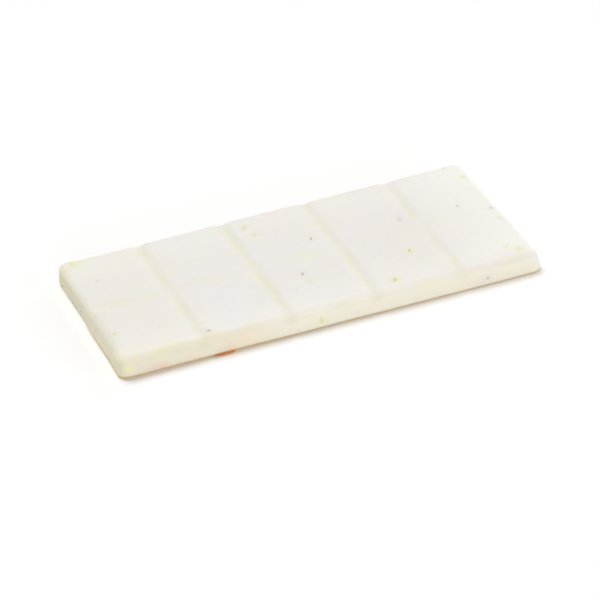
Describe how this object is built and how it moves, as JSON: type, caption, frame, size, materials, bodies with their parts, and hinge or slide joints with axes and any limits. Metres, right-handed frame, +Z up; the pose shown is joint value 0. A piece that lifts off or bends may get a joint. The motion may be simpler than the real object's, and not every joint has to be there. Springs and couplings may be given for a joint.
{
  "type": "chocolate bar",
  "caption": "Bare white chocolate bar with leaning sides and soft edges, its moulded face scored into tablets by cross grooves and one faint lengthwise groove.",
  "frame": {"origin": "middle of the flat back, which the bar lies on", "axes": "+X along the bar's length, +Y across its width, +Z up out of the moulded face"},
  "size_m": [0.155, 0.0774, 0.008],
  "materials": {
    "ivory_chocolate": "satin",
    "spice_specks": "matte",
    "fruit_bits": "satin"
  },
  "bodies": {
    "root": {"chocolate_bar": "ivory_chocolate"}
  },
  "joints": []
}
